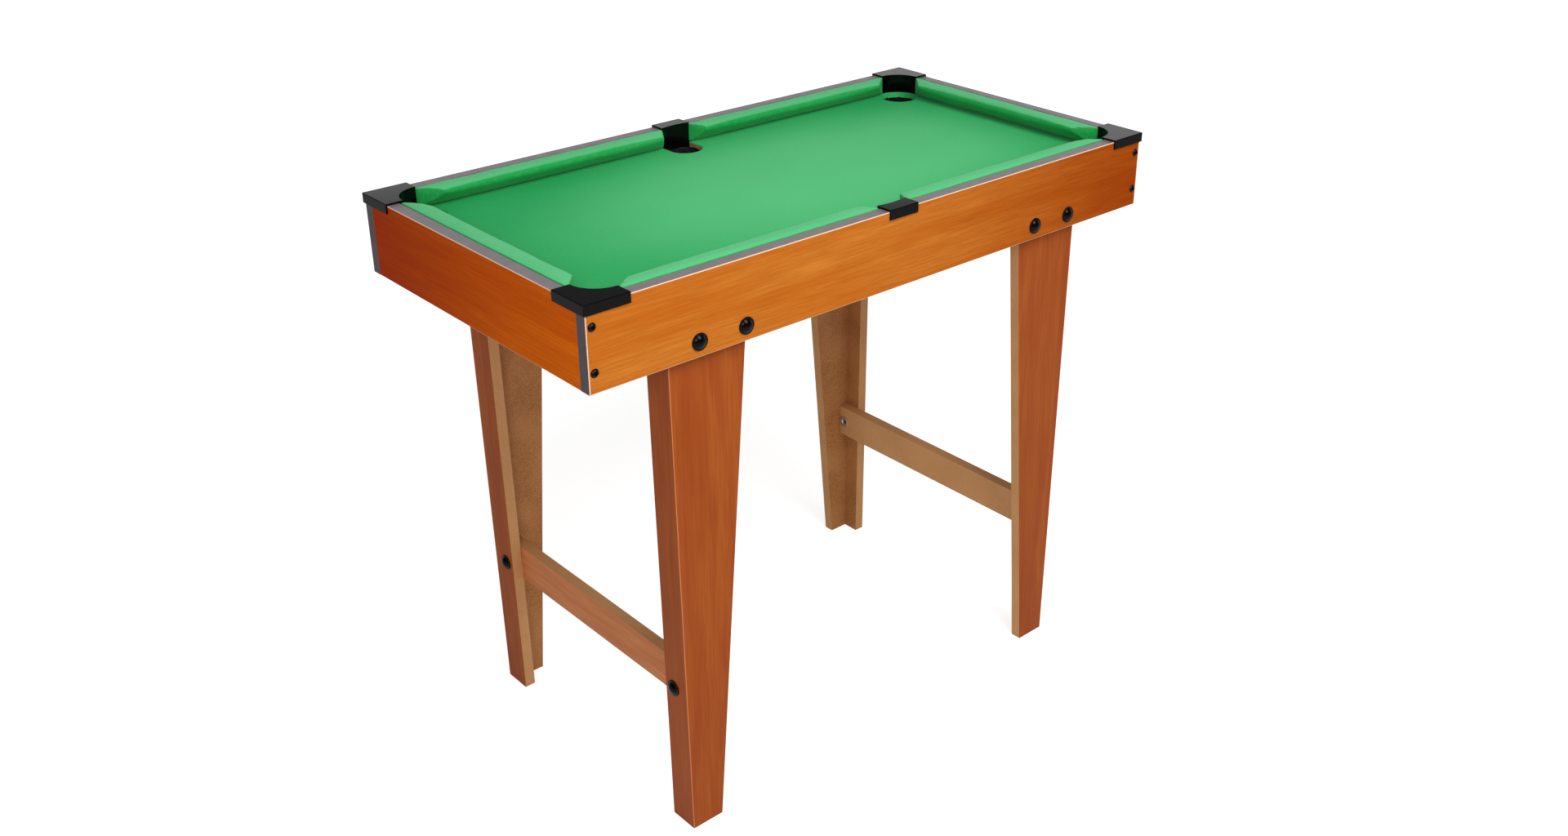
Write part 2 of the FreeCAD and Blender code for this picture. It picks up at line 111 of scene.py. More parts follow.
class Finish(Nodes):
    """One material, built round its principled shader, with patterns that lie in the object's own axes."""

    def __init__(self, name, roughness, **values):
        self.material = bpy.data.materials.new(name)
        self.material.use_nodes = True
        super().__init__(self.material.node_tree)
        self.shader = self.tree.nodes["Principled BSDF"]
        self.place = self.add("TexCoord").outputs["Object"]
        self.shader.inputs["Roughness"].default_value = roughness
        for socket_name, value in values.items():
            self.shader.inputs[socket_names[socket_name]].default_value = value

    def mixed(self, share, first, second, most=1.0, blend="MIX"):
        """The first colour where the share is zero, and the second, or the most of it, where it is one."""
        if most < 1:
            share = self.maths("MULTIPLY", share, most)
        node = self.add("Mix", data_type="RGBA", blend_type=blend)
        factor, one, other = [socket for socket in node.inputs if socket.enabled]
        for socket, value in ((factor, share), (one, first), (other, second)):
            self.feed(socket, value)
        return next(socket for socket in node.outputs if socket.enabled)

    def noise(self, spot, detail=2.0, seed=0.0, distortion=0.0):
        """Noise whose spots have a size along X, Y and Z."""
        stretch = [1 / length for length in spot]
        mapping = self.add("Mapping", {"Vector": self.place, "Scale": stretch, "Location": [seed] * 3})
        node = self.add("TexNoise", {"Vector": mapping.outputs["Vector"], "Scale": 1.0,
                                     "Detail": detail, "Distortion": distortion})
        return node.outputs["Fac"]

    def axes(self):
        """The place on the object along X, Y and Z."""
        return self.add("SeparateXYZ", {"Vector": self.place}).outputs

    def facing(self):
        """How much the surface faces along X, Y and Z."""
        normal = self.add("NewGeometry").outputs["Normal"]
        return self.add("SeparateXYZ", {"Vector": normal}).outputs

    def outwards(self, side):
        """How much the surface faces out from the table's middle along one axis."""
        return self.maths("MULTIPLY", self.facing()[side], self.maths("SIGN", self.axes()[side]))

    def colour(self, value):
        self.feed(self.shader.inputs["Base Color"], value)

    def roughen(self, value):
        self.feed(self.shader.inputs["Roughness"], value)

    def bump(self, height, distance, strength):
        node = self.add("Bump", {"Height": height, "Distance": distance, "Strength": strength})
        self.feed(self.shader.inputs["Normal"], node.outputs["Normal"])


def rgb(red, green, blue):
    """A colour as a screen shows it, from 0 to 255, for a shader's socket."""
    def linear(value):
        value /= 255
        return value / 12.92 if value <= 0.04045 else ((value + 0.055) / 1.055) ** 2.4

    return (linear(red), linear(green), linear(blue), 1.0)


def long_spot(axis, length, width):
    """A spot's size, with its length along one axis and its width along the other two."""
    return [length if direction == axis else width for direction in "XYZ"]


def round_spot(width):
    """A spot's size, with the same width along every axis."""
    return [width] * 3


raw_board_dark = rgb(154, 99, 53)
raw_board_light = rgb(175, 117, 70)
raw_board_fleck = rgb(192, 140, 91)
# Paler raw board on faces that look sideways: partly its own cut, partly painted light
cut_and_lit_board = rgb(216, 167, 114)
pale_edge = rgb(230, 196, 172)
bright_corner = rgb(238, 150, 104)
# Painted shade, multiplied into the apron foil towards each board's far end
far_end_shade_tint = rgb(206, 152, 76)
brushed_nap = rgb(110, 205, 145)
sheen_green = rgb(150, 255, 190)
black = rgb(3, 3, 4)
dusty_black = rgb(20, 19, 20)

# Each printed grain has a light, a middle and a dark colour
long_board_grain = (rgb(197, 120, 45), rgb(186, 102, 28), rgb(160, 77, 15))
# The short boards carry the same foil as the long ones. This copy of its colours is painted shade: redder
# and more saturated, with less green and blue, as their shaded sides look.
shaded_short_board_grain = (rgb(218, 106, 6), rgb(204, 89, 1), rgb(175, 67, 0))
leg_grain = (rgb(165, 85, 28), rgb(151, 69, 19), rgb(137, 55, 11))
stretcher_grain = (rgb(208, 134, 84), rgb(194, 118, 72), rgb(171, 97, 54))


# Wood-grain foil and the raw board behind it
def wood_grain(finish, axis, colours, band_width, pore_share):
    """Printed grain along one axis: broad bands, fibres and short dark pores.

    Gives its colour, and its fibres for the sheen.
    """
    light, middle, dark = colours
    fibre_share = 0.45
    band = long_spot(axis, 14 * band_width, band_width)
    fibre = long_spot(axis, 50 * millimetre, 1.5 * millimetre)
    pore = long_spot(axis, 17 * millimetre, 0.9 * millimetre)
    bands = finish.ramped(finish.noise(band, detail=3.0, seed=3.1, distortion=0.5), 0.3, 0.7)
    fibres = finish.noise(fibre, detail=4.0, seed=11.7)
    pores = finish.ramped(finish.noise(pore, detail=2.0, seed=5.3), 0.58, 0.74)
    wide = finish.mixed(bands, middle, light)
    grained = finish.mixed(finish.ramped(fibres, 0.34, 0.7), dark, wide)
    mellow = finish.mixed(fibre_share, wide, grained)
    return finish.mixed(pores, mellow, dark, most=pore_share), fibres


def foil_sheen(finish, fibres):
    """Satin print, a little rougher on its fibres and hardly raised."""
    finish.roughen(finish.between(fibres, 0.34, 0.48))
    finish.bump(fibres, distance=0.04 * millimetre, strength=0.4)


def raw_fibre(finish):
    """Pressed wood fibre: cloudy brown with fine pale flecks. Gives its colour and its flecks."""
    clouds = finish.ramped(finish.noise(round_spot(40 * millimetre), detail=3.0, seed=8.2), 0.3, 0.7)
    flecks = finish.noise(round_spot(1.1 * millimetre), detail=3.0, seed=2.4)
    brown = finish.mixed(clouds, raw_board_dark, raw_board_light)
    return finish.mixed(finish.ramped(flecks, 0.4, 0.8), brown, raw_board_fleck), flecks


def cut_and_lit_fibre(finish, sides):
    """Raw fibre, paler on the faces that look along these sides: partly where the board is cut, partly
    painted light on those faces.
    """
    facing = finish.facing()
    raw = raw_fibre(finish)[0]
    looks_there = [finish.maths("ABSOLUTE", facing[side]) for side in sides]
    # Paler on these faces: partly the board's own paler cut, partly painted light
    on_cut = finish.ramped(finish.maths("MAXIMUM", looks_there[0], looks_there[-1]), 0.4, 0.8)
    return finish.mixed(on_cut, raw, cut_and_lit_board, most=0.45)


def board_foil(name, axis, shade_from, colours):
    """Foil on the outer face of an apron board, with painted shade that makes it darker and redder towards
    its far end, and raw fibre on the rest.

    The board lies along one axis. The painted shade starts at a share of its half length and is full past
    its end.
    """
    foil_depth, raw_depth = 0.3 * millimetre, 0.7 * millimetre
    pale_height, grain_height = 0.25 * millimetre, 0.8 * millimetre
    shade_to = 1.2
    half_sizes = {"X": half_length, "Y": half_width}
    outer_face = "Y" if axis == "X" else "X"
    half_board, half_outer = half_sizes[axis], half_sizes[outer_face]
    finish = Finish(name, roughness=0.4, gloss=0.015)
    grain, fibres = wood_grain(finish, axis, colours, band_width=22 * millimetre, pore_share=0.42)
    axes = finish.axes()
    # Painted shade: the foil turns darker and redder towards the board's far end
    far_end = finish.ramped(axes[axis], shade_from * half_board, shade_to * half_board)
    grain = finish.mixed(far_end, grain, far_end_shade_tint, blend="MULTIPLY")
    off_middle = finish.maths("ABSOLUTE", axes[outer_face])
    on_foil = finish.ramped(off_middle, half_outer - raw_depth, half_outer - foil_depth)
    at_foot = finish.faded(axes["Z"], board_foot + pale_height, board_foot + grain_height)
    edged = finish.mixed(at_foot, grain, pale_edge, most=0.75)
    finish.colour(finish.mixed(on_foil, raw_fibre(finish)[0], edged))
    foil_sheen(finish, fibres)
    return finish.material


def leg_foil(name, face, cut_sides):
    """Foil on the outer face of a leg panel, with a bright line down the leg's leaning corner."""
    foil_depth, raw_depth = 0.3 * millimetre, 0.5 * millimetre
    bright_width, grain_width = 0.3 * millimetre, 0.8 * millimetre
    finish = Finish(name, roughness=0.4, gloss=0.1)
    grain, fibres = wood_grain(finish, "Z", leg_grain, band_width=12 * millimetre, pore_share=0.08)
    axes = finish.axes()
    corner_x = finish.maths("MULTIPLY_ADD", axes["Z"], leg_lean / leg_top, leg_foot_x)
    inside_x = finish.maths("SUBTRACT", corner_x, finish.maths("ABSOLUTE", axes["X"]))
    inside_y = finish.maths("SUBTRACT", inner_y, finish.maths("ABSOLUTE", axes["Y"]))
    depth, across = (inside_x, inside_y) if face == "X" else (inside_y, inside_x)
    on_foil = finish.faded(depth, foil_depth, raw_depth)
    at_corner = finish.faded(across, bright_width, grain_width)
    edged = finish.mixed(at_corner, grain, bright_corner, most=0.6)
    finish.colour(finish.mixed(on_foil, cut_and_lit_fibre(finish, cut_sides), edged))
    foil_sheen(finish, fibres)
    return finish.material


def stretcher_foil():
    """Foil on the outer face of a stretcher, and raw fibre on the rest."""
    finish = Finish("stretcher_foil", roughness=0.4, gloss=0.1)
    grain, fibres = wood_grain(finish, "Y", stretcher_grain, band_width=10 * millimetre, pore_share=0.12)
    on_foil = finish.ramped(finish.outwards("X"), 0.8, 0.95)
    finish.colour(finish.mixed(on_foil, cut_and_lit_fibre(finish, "XZ"), grain))
    foil_sheen(finish, fibres)
    return finish.material


def raw_board():
    finish = Finish("raw_board", roughness=0.85)
    raw, flecks = raw_fibre(finish)
    finish.colour(raw)
    finish.bump(flecks, distance=0.08 * millimetre, strength=0.6)
    return finish.material


def edge_band(name, cut_sides, dark, light):
    """Grey plastic band, pale where it is cut along the sides that face out from the table."""
    finish = Finish(name, roughness=0.36)
    mottle = finish.noise(round_spot(12 * millimetre), detail=3.0, seed=4.4)
    grey = finish.mixed(mottle, dark, light)
    outwards = [finish.outwards(side) for side in cut_sides]
    on_cut = finish.ramped(finish.maths("MAXIMUM", outwards[0], outwards[-1]), 0.3, 0.7)
    finish.colour(finish.mixed(on_cut, grey, pale_edge))
    finish.bump(finish.noise(round_spot(0.6 * millimetre)), distance=0.02 * millimetre, strength=0.5)
    return finish.material


# Cloth, plastic and steel
def painted_light_middle(finish):
    """Painted light: one in the middle of the bed, painted paler where light falls most, fading towards the
    cushions.
    """
    centre = {"X": 50 * millimetre, "Y": -10 * millimetre}
    reach = {"X": 300 * millimetre, "Y": 180 * millimetre}
    fade_end = 1.3
    axes = finish.axes()
    squares = []
    for side in "XY":
        off_centre = finish.maths("DIVIDE", finish.maths("SUBTRACT", axes[side], centre[side]), reach[side])
        squares.append(finish.maths("MULTIPLY", off_centre, off_centre))
    return finish.faded(finish.maths("ADD", *squares), 0.0, fade_end)


def painted_lit_tops(finish):
    """Painted light: one where a cushion's cover faces up, painted paler as lit from above, and zero on its
    face, painted darker as in shade.
    """
    lit_starts, lit_full = 0.7, 0.97
    return finish.ramped(finish.facing()["Z"], lit_starts, lit_full)


def playing_cloth(name, painted_light, dark, light):
    """Napped cloth: fine fibres, brushed streaks, faint mottling and a soft shine at flat angles, with
    painted light: paler where the given share says so.
    """
    patch_share = 0.12
    finish = Finish(name, roughness=0.6, gloss=0.2, sheen=0.25, sheen_roughness=0.35,
                    sheen_tint=sheen_green)
    fibres = finish.noise(round_spot(0.5 * millimetre), detail=3.0, seed=6.6)
    patch = long_spot("X", 120 * millimetre, 70 * millimetre)
    streak = (6 * millimetre, 1.4 * millimetre, 4 * millimetre)
    patches = finish.ramped(finish.noise(patch, detail=2.0, seed=1.9), 0.2, 0.8)
    nap = finish.ramped(finish.noise(streak, detail=3.0, seed=9.9), 0.4, 0.8)
    # Painted light: the given share makes the cloth paler where it stands in for light
    painted_light_share = finish.maths("MULTIPLY", painted_light(finish), 1 - patch_share)
    cloth = finish.mixed(finish.maths("MULTIPLY_ADD", patches, patch_share, painted_light_share), dark, light)
    brushed = finish.mixed(nap, cloth, brushed_nap, most=0.12)
    finish.colour(finish.mixed(finish.ramped(fibres, 0.3, 0.6), brushed, dark, most=0.2))
    finish.roughen(finish.between(fibres, 0.5, 0.7))
    finish.bump(fibres, distance=0.12 * millimetre, strength=0.5)
    return finish.material


def moulded_plastic(name, colour, roughness, gloss, spot):
    """Black plastic with a fine moulded texture and a little dust."""
    rough_change = 0.04
    finish = Finish(name, roughness, gloss=gloss)
    dust = finish.ramped(finish.noise(round_spot(10 * millimetre), detail=4.0, seed=2.2), 0.45, 0.9)
    finish.colour(finish.mixed(dust, colour, dusty_black, most=0.2))
    texture = finish.noise(round_spot(spot))
    finish.roughen(finish.between(texture, roughness - rough_change, roughness + rough_change))
    finish.bump(texture, distance=0.006 * millimetre, strength=0.3)
    return finish.material


def metal(name, colour, roughness):
    """Bare or blackened steel with fine scratches, which are duller and rougher."""
    dulling, rough_change = 0.7, 0.1
    finish = Finish(name, roughness, metallic=1.0)
    scratches = finish.noise(long_spot("Y", 4 * millimetre, 0.4 * millimetre), detail=3.0)
    duller = [value * dulling for value in colour[:3]] + [1.0]
    finish.colour(finish.mixed(scratches, colour, duller))
    finish.roughen(finish.between(scratches, roughness - rough_change, roughness + rough_change))
    return finish.material


finishes = {
    "long_foil": board_foil("long_board_foil", "X", -0.2, long_board_grain),
    "short_foil": board_foil("short_board_foil", "Y", -1.0, shaded_short_board_grain),
    "wide_panel": leg_foil("wide_panel_foil", "Y", "X"),
    "side_panel": leg_foil("side_panel_foil", "X", "Y"),
    "stretcher": stretcher_foil(),
    "raw": raw_board(),
    "top_band": edge_band("top_band", "XY", rgb(106, 98, 102), rgb(130, 122, 126)),
    # The end bands are the same grey band as the top bands. Their darker greys are painted shade.
    "shaded_end_band": edge_band("shaded_end_band", "Y", rgb(46, 38, 46), rgb(70, 58, 62)),
    # The light colours of both cloths are painted light, for the bed's lit middle and the cushions' lit
    # tops. The cushions' dark colour is the painted shade of their faces.
    "bed_cloth": playing_cloth("bed_cloth", painted_light_middle, rgb(24, 166, 87), rgb(88, 201, 127)),
    "cushion_cloth": playing_cloth("cushion_cloth", painted_lit_tops, rgb(6, 145, 62), rgb(97, 199, 135)),
    "cap": moulded_plastic("pocket_cap_plastic", black, 0.09, 0.13, 0.9 * millimetre),
    "bolt_cap": moulded_plastic("bolt_cap_plastic", black, 0.12, 0.12, 1.2 * millimetre),
    "net": moulded_plastic("pocket_net", rgb(12, 12, 13), 0.5, 0.2, 0.9 * millimetre),
    "black_steel": metal("black_steel", rgb(38, 36, 38), 0.3),
    "nickel": metal("nickel_steel", rgb(214, 210, 204), 0.42),
}


def nodes_called(*beginnings):
    return [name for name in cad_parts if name.startswith(beginnings)]


node_finishes = {
    "long_foil": ["apron_front", "apron_back"],
    "short_foil": ["apron_left", "apron_right"],
    "wide_panel": nodes_called("leg_wide_panel"),
    "side_panel": nodes_called("leg_side_panel"),
    "stretcher": ["stretcher_left", "stretcher_right"],
    "raw": nodes_called("bed_board", "bed_cleat", "cushion_strip"),
    "top_band": ["top_edge_bands"],
    "shaded_end_band": ["end_edge_bands"],
    "bed_cloth": ["bed_cloth"],
    "cushion_cloth": [name for name in nodes_called("cushion_") if "strip" not in name],
    "cap": nodes_called("corner_cap", "middle_cap"),
    "bolt_cap": ["leg_bolt_caps", "stretcher_bolt_caps"],
    "net": nodes_called("pocket_bag"),
    "black_steel": ["apron_screws", "leg_bolts", "stretcher_bolts"],
    "nickel": ["leg_bolt_nuts", "stretcher_bolt_nuts"],
}
for finish_name, node_names in node_finishes.items():
    for node_name in node_names:
        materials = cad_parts[node_name].data.materials
        materials.clear()
        materials.append(finishes[finish_name])


# New pieces
crease_angle = 40
smooth_all_over = 180
round_steps = 48

# Points nearer than this are one point
hair = 0.001 * millimetre


def as_object(name, shape):
    """A new object with the shape as its mesh."""
    mesh = bpy.data.meshes.new(name)
    shape.to_mesh(mesh)
    shape.free()
    made = bpy.data.objects.new(name, mesh)
    bpy.context.scene.collection.objects.link(made)
    return made


def placed_piece(name, shape, finish, replaced, crease=crease_angle):
    """A piece that rides on the table in place of the nodes that it replaces, smooth up to its creases."""
    piece = as_object(name, shape)
    piece.data.shade_smooth()
    piece.data.set_sharp_from_angle(angle=math.radians(crease))
    piece.data.materials.append(finishes[finish])
    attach(piece, "root")
    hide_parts(*replaced)
    return piece


def keep_result(piece):
    """Makes what the modifiers give the piece's own mesh."""
    result = bpy.data.meshes.new_from_object(piece.evaluated_get(bpy.context.evaluated_depsgraph_get()))
    piece.modifiers.clear()
    piece.data = result


def everything_in(shape):
    return shape.verts[:] + shape.edges[:] + shape.faces[:]


def cut_flat(shape, point, outwards):
    """Cuts off what lies outwards of a plane through a point, and closes the cut."""
    bmesh.ops.bisect_plane(shape, geom=everything_in(shape), dist=hair, clear_outer=True,
                           plane_co=point, plane_no=outwards)
    bmesh.ops.holes_fill(shape, edges=[edge for edge in shape.edges if edge.is_boundary])


def cut_away(shape, tool):
    """One shape with another taken out of it."""
    whole = as_object("whole", shape)
    cutter = as_object("cutter", tool)
    cut = whole.modifiers.new("cut", "BOOLEAN")
    cut.operation = "DIFFERENCE"
    cut.solver = "EXACT"
    cut.use_self = True
    cut.object = cutter
    keep_result(whole)
    result = bmesh.new()
    result.from_mesh(whole.data)
    for used in (whole, cutter):
        bpy.data.objects.remove(used)
    return result


def arc_points(centre, radius, start, end, steps):
    """Points along an arc, from one angle to another in degrees."""
    turns = [math.radians(start + (end - start) * step / steps) for step in range(steps + 1)]
    return [(centre[0] + radius * math.cos(turn), centre[1] + radius * math.sin(turn)) for turn in turns]


def turned(shape, profile, steps):
    """Adds a form turned about the Z axis from its profile of radius and height."""
    verts = [shape.verts.new((radius, 0, height)) for radius, height in profile]
    edges = [shape.edges.new(pair) for pair in zip(verts, verts[1:])]
    bmesh.ops.spin(shape, geom=verts + edges, cent=(0, 0, 0), axis=(0, 0, 1),
                   angle=2 * math.pi, steps=steps, use_merge=True)


def close_seams(shape):
    """Joins the points that turning leaves double, and points the faces outwards."""
    bmesh.ops.remove_doubles(shape, verts=shape.verts, dist=0.005 * millimetre)
    bmesh.ops.recalc_face_normals(shape, faces=shape.faces)


def turned_fitting(profile):
    shape = bmesh.new()
    turned(shape, profile, round_steps)
    close_seams(shape)
    return shape


# Cushions
corner_setback = 24 * millimetre
middle_setback = 12 * millimetre
strip_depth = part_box("cushion_strip_left")[1].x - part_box("cushion_strip_left")[0].x
strip_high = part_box("cushion_strip_left")[1].z
cushion_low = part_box("cushion_left")[0].z
cushion_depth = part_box("cushion_left")[1].x + inner_x
cushion_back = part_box("cushion_left")[0].x + inner_x

# Beside the apron a cushion's end is square to this depth, and stands this far past the solid's end
tip_depth = 3.5 * millimetre
tip_reach = 1.5 * millimetre


def mitre(y, setback, outwards):
    """A point on a cushion's slanting end and that end's normal."""
    point = Vector((tip_depth, y + outwards * tip_reach, 0))
    return point, Vector((setback, outwards * (cushion_depth - tip_depth), 0)).normalized()


def cushion_bar(length, start_setback, end_setback):
    """A cushion along Y from zero, with X away from the apron.

    It has a low crown, a high nose and a face that slants back to the foot.
    """
    voxel = 1.5 * millimetre
    corner_round = 1.0 * millimetre
    spare = 3 * millimetre
    # Depth from the apron and rise above the rail's top, in millimetres: foot, nose and crown
    profile = [(6, -18.7), (21.2, -5.8), (22.8, -3.8), (21.8, -1.7), (16, 0), (9, 0.7), (2, 0.5)]
    outline = [(cushion_back, strip_high), (strip_depth, strip_high), (strip_depth, cushion_low)]
    outline += [(depth * millimetre, rail_top + rise * millimetre) for depth, rise in profile]
    outline += [(cushion_back, rail_top - millimetre)]
    shape = bmesh.new()
    corners = [shape.verts.new((depth, -spare, z)) for depth, z in outline]
    shape.faces.new(corners)
    nose_and_crown = corners[4:9]
    bmesh.ops.bevel(shape, geom=nose_and_crown, offset=corner_round, affect="VERTICES",
                    segments=3, profile=0.5, material=-1)
    grown = bmesh.ops.extrude_face_region(shape, geom=shape.faces[:])
    far_end = [part for part in grown["geom"] if isinstance(part, bmesh.types.BMVert)]
    bmesh.ops.translate(shape, verts=far_end, vec=(0, length + 2 * spare, 0))
    for y, setback, outwards in ((0, start_setback, -1), (length, end_setback, 1)):
        point, slant = mitre(y, setback, outwards)
        for normal in (Vector((0, outwards, 0)), slant):
            cut_flat(shape, point, normal)
    bmesh.ops.recalc_face_normals(shape, faces=shape.faces)
    bar = as_object("cushion_bar", shape)
    remesh = bar.modifiers.new("even_faces", "REMESH")
    remesh.mode = "VOXEL"
    remesh.voxel_size = voxel
    keep_result(bar)
    return bar


def swell(bar, most):
    """Pulls the cover tight over its filling: the back and the foot are held, the rest swells a little."""
    frames = 15
    foot = cushion_low + millimetre
    held = bar.vertex_groups.new(name="held")
    held.add([vert.index for vert in bar.data.vertices
              if vert.co.x < strip_depth or vert.co.z < foot], 1.0, "REPLACE")
    cover = bar.modifiers.new("cover", "CLOTH")
    cover.settings.vertex_group_mass = "held"
    cover.settings.quality = 4
    cover.settings.use_pressure = True
    cover.settings.uniform_pressure_force = 4
    cover.settings.effector_weights.gravity = 0
    before = [vert.co.copy() for vert in bar.data.vertices]
    for number in range(1, frames + 1):
        bpy.context.scene.frame_set(number)
    keep_result(bar)
    bpy.context.scene.frame_set(1)
    for vert, old in zip(bar.data.vertices, before):
        move = vert.co - old
        if move.length > most:
            vert.co = old + move * (most / move.length)


def fold_ends(bar, ends):
    """The cover is folded over at each mitred end, so one layer steps up along a slanting line."""
    layer = 0.55 * millimetre
    soft_edge = 0.8 * millimetre
    fold_reach = 1.2 * millimetre
    low_x, low_z = 2 * millimetre, cushion_low + 2 * millimetre
    high_x, high_z = 19 * millimetre, cushion_low + 12 * millimetre
    for vert in bar.data.vertices:
        for y, setback, outwards in ends:
            point, normal = mitre(y, setback, outwards)
            off_end = (vert.co - point).dot(normal)
            if vert.co.x > tip_depth and off_end > -fold_reach:
                line_z = low_z + (high_z - low_z) * (vert.co.x - low_x) / (high_x - low_x)
                under = min(max((line_z - vert.co.z) / soft_edge, 0), 1)
                vert.co += normal * layer * under


def rumple(shape, seed):
    """Shallow uneven dents, as rubber under stretched cloth has."""
    long_spacing, long_depth = 26 * millimetre, 0.34
    short_spacing, short_depth = 7 * millimetre, 0.16
    for vert in shape.verts:
        place = vert.co + Vector((0, 0, seed))
        long_dent = noise.noise(place / long_spacing) * long_depth
        short_dent = noise.noise(place / short_spacing) * short_depth
        vert.co += vert.normal * (long_dent + short_dent) * millimetre


def make_cushions():
    """One long and one short bar, each copied to its places and rumpled there in its own way."""
    most_swell = 0.9 * millimetre
    low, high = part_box("cushion_front_left")
    side_low, side_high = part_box("cushion_left")
    long_ends = ((0, middle_setback, -1), (high.x - low.x, corner_setback, 1))
    short_ends = ((0, corner_setback, -1), (side_high.y - side_low.y, corner_setback, 1))
    bars = {}
    for name, ends in (("long", long_ends), ("short", short_ends)):
        bar = cushion_bar(ends[1][0], ends[0][1], ends[1][1])
        swell(bar, most_swell)
        fold_ends(bar, ends)
        bars[name] = bar
    along_front = Matrix.Translation((high.x, -inner_y, 0)) @ Matrix.Rotation(math.pi / 2, 4, "Z")
    along_left = Matrix.Translation((-inner_x, side_low.y, 0))
    mirror_x = Matrix.Diagonal((-1, 1, 1, 1))
    mirror_y = Matrix.Diagonal((1, -1, 1, 1))
    places = {
        "front_left": ("long", along_front),
        "front_right": ("long", mirror_x @ along_front),
        "back_left": ("long", mirror_y @ along_front),
        "back_right": ("long", mirror_x @ mirror_y @ along_front),
        "left": ("short", along_left),
        "right": ("short", mirror_x @ along_left),
    }
    for number, (place_name, (bar_name, place)) in enumerate(places.items()):
        shape = bmesh.new()
        shape.from_mesh(bars[bar_name].data)
        bmesh.ops.transform(shape, matrix=place, verts=shape.verts)
        bmesh.ops.recalc_face_normals(shape, faces=shape.faces)
        for smoothing in range(2):
            bmesh.ops.smooth_vert(shape, verts=shape.verts, factor=0.5, use_axis_x=True,
                                  use_axis_y=True, use_axis_z=True)
        shape.normal_update()
        rumple(shape, seed=number * 0.1)
        piece = placed_piece("covered_cushion_" + place_name, shape, "cushion_cloth",
                             ["cushion_" + place_name], crease=smooth_all_over)
        finer = piece.modifiers.new("finer_faces", "SUBSURF")
        finer.levels = finer.render_levels = 1
    for bar in bars.values():
        bpy.data.objects.remove(bar)


# Bed cloth, with its tongues turned down into the pockets
corner_hole_x = 306.95 * millimetre
corner_hole_y = 139.95 * millimetre
corner_hole_radius = 20.5 * millimetre
middle_hole_y = 146 * millimetre
middle_hole_radius = 18 * millimetre
cloth_roll = 1.3 * millimetre
flat_rim = 0.6 * millimetre


def turn_down(shape, rim, centre, tongues, kept):
    """Rolls the cloth over a pocket's edge, then hangs the kept ones of its tongues down, with cut gaps."""
    roll_angles = (0, 30, 60, 90)
    tongue_length = 4.5 * millimetre
    # Down a tongue: how far each step comes inwards, its share of the length and how much it narrows
    tongue_steps = ((0, 0.3, 0.01), (0.1 * millimetre, 0.3, 0.04), (0.4 * millimetre, 0.4, 0.25))

    def away(point):
        """The level way out from the hole's centre. On a middle notch's straight sides it is along X."""
        offset = Vector((point.x - centre[0], point.y - centre[1], 0))
        if abs(point.y) > abs(centre[1]) and abs(centre[0]) < millimetre:
            offset.y = 0
        return offset.normalized()

    def step(edges, inwards, down, narrower=0.0):
        grown = bmesh.ops.extrude_edge_only(shape, edges=edges)["geom"]
        verts = [part for part in grown if isinstance(part, bmesh.types.BMVert)]
        middle = sum((vert.co for vert in verts), Vector()) / len(verts)
        for vert in verts:
            vert.co -= away(vert.co) * inwards
            vert.co += (middle - vert.co) * narrower
            vert.co.z -= down
        made = set(verts)
        return [part for part in grown if isinstance(part, bmesh.types.BMEdge) and set(part.verts) <= made]

    def heading(edge):
        middle = (edge.verts[0].co + edge.verts[1].co) / 2
        return math.atan2(middle.y - centre[1], middle.x - centre[0])

    rim = step(rim, flat_rim, 0)
    turns = [math.radians(angle) for angle in roll_angles]
    for before, after in zip(turns, turns[1:]):
        rim = step(rim, cloth_roll * (math.sin(after) - math.sin(before)),
                   cloth_roll * (math.cos(before) - math.cos(after)))
    rim = sorted(rim, key=heading)
    edges_each = len(rim) / tongues
    for number in kept:
        part = rim[round(number * edges_each):round((number + 1) * edges_each)]
        for inwards, length_share, narrower in tongue_steps:
            part = step(part, inwards, length_share * tongue_length, narrower)


